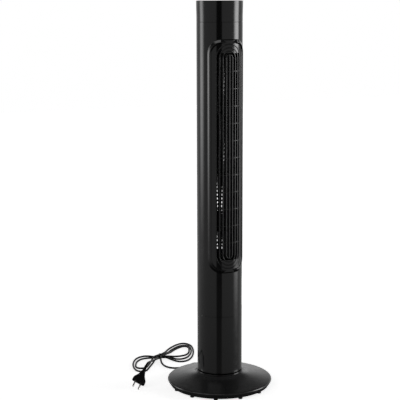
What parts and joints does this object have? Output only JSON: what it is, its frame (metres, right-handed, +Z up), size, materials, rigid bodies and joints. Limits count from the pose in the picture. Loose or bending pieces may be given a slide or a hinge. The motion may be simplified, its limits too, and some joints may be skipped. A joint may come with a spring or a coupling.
{
  "type": "tower fan",
  "caption": "Slim upright tower fan: a glossy column with a slotted outlet and a rear intake that swings on a round weighted base, with its mains lead tied in a hank.",
  "frame": {"origin": "centre of the round base, on the floor that the feet stand on", "axes": "+Z up along the column, the air outlet faces -Y at rest"},
  "size_m": [0.4292, 0.5939, 1.18],
  "materials": {
    "gloss_black": "polished black moulding",
    "satin_black": "satin black moulding",
    "drum_grey": "dark moulded impeller",
    "button_grey": "satin button caps",
    "black_rubber": "soft black PVC and rubber",
    "plated_pin": "nickel-plated pins",
    "weight_iron": "rough cast ring",
    "zinc_steel": "zinc-plated steel",
    "white_nylon": "plain nylon",
    "capacitor_grey": "plain plastic can",
    "smoked_lens": "smoked display window",
    "board_green": "circuit board"
  },
  "bodies": {
    "base": {"base_cover": "gloss_black", "base_plate": "satin_black", "base_weight": "weight_iron", "swivel_collar": "gloss_black", "swivel_post": "satin_black", "thrust_washer": "white_nylon", "post_retainer": "zinc_steel", "swing_fork": "zinc_steel", "foot_01": "black_rubber", "foot_02": "black_rubber", "foot_03": "black_rubber", "foot_04": "black_rubber", "foot_05": "black_rubber", "foot_06": "black_rubber", "foot_07": "black_rubber", "foot_08": "black_rubber", "foot_09": "black_rubber", "foot_10": "black_rubber", "foot_11": "black_rubber", "foot_12": "black_rubber", "cord_strain_relief": "black_rubber", "cord_lead": "black_rubber", "cord_hank_left": "black_rubber", "cord_hank_right": "black_rubber", "cord_tie": "black_rubber", "cord_tail": "black_rubber", "plug_body": "black_rubber", "plug_pin_left": "plated_pin", "plug_pin_right": "plated_pin"},
    "tower": {"tower_floor": "satin_black", "lower_column": "gloss_black", "front_housing": "gloss_black", "rear_housing": "gloss_black", "side_insert": "gloss_black", "front_grille": "gloss_black", "grille_guard": "satin_black", "air_scroll": "satin_black", "air_tongue": "satin_black", "motor_mount": "zinc_steel", "motor_body": "zinc_steel", "capacitor": "capacitor_grey", "swing_motor": "zinc_steel", "bearing_bracket": "satin_black", "top_bearing": "white_nylon", "display_band": "gloss_black", "top_deck": "gloss_black", "display_lens": "smoked_lens", "control_board": "board_green"},
    "impeller": {"impeller_1": "drum_grey", "impeller_2": "drum_grey", "impeller_3": "drum_grey", "impeller_4": "drum_grey", "impeller_end": "drum_grey", "motor_shaft": "zinc_steel"},
    "crank": {"swing_crank": "zinc_steel"},
    "key_power": {"button_power": "button_grey"},
    "key_speed": {"button_speed": "button_grey"},
    "key_timer": {"button_timer": "button_grey"},
    "key_swing": {"button_swing": "button_grey"}
  },
  "joints": [
    {"name": "swing", "type": "hinge", "parent": "base", "child": "tower", "pos_m": [0, 0, 0.055], "axis": [0, 0, 1], "range_deg": [-40, 40]},
    {"name": "impeller_spin", "type": "hinge", "parent": "tower", "child": "impeller", "pos_m": [0, 0, 0.67], "axis": [0, 0, 1], "continuous": true},
    {"name": "crank_spin", "type": "hinge", "parent": "tower", "child": "crank", "pos_m": [0.0465, 0, 0.052], "axis": [0, 0, 1], "continuous": true},
    {"name": "press_power", "type": "slide", "parent": "tower", "child": "key_power", "axis": [0, 0, -1], "range_m": [0, 0.0012], "stiffness_N_per_m": 800, "springref_m": -0.0003},
    {"name": "press_speed", "type": "slide", "parent": "tower", "child": "key_speed", "axis": [0, 0, -1], "range_m": [0, 0.0012], "stiffness_N_per_m": 800, "springref_m": -0.0003},
    {"name": "press_timer", "type": "slide", "parent": "tower", "child": "key_timer", "axis": [0, 0, -1], "range_m": [0, 0.0012], "stiffness_N_per_m": 800, "springref_m": -0.0003},
    {"name": "press_swing", "type": "slide", "parent": "tower", "child": "key_swing", "axis": [0, 0, -1], "range_m": [0, 0.0012], "stiffness_N_per_m": 800, "springref_m": -0.0003}
  ]
}
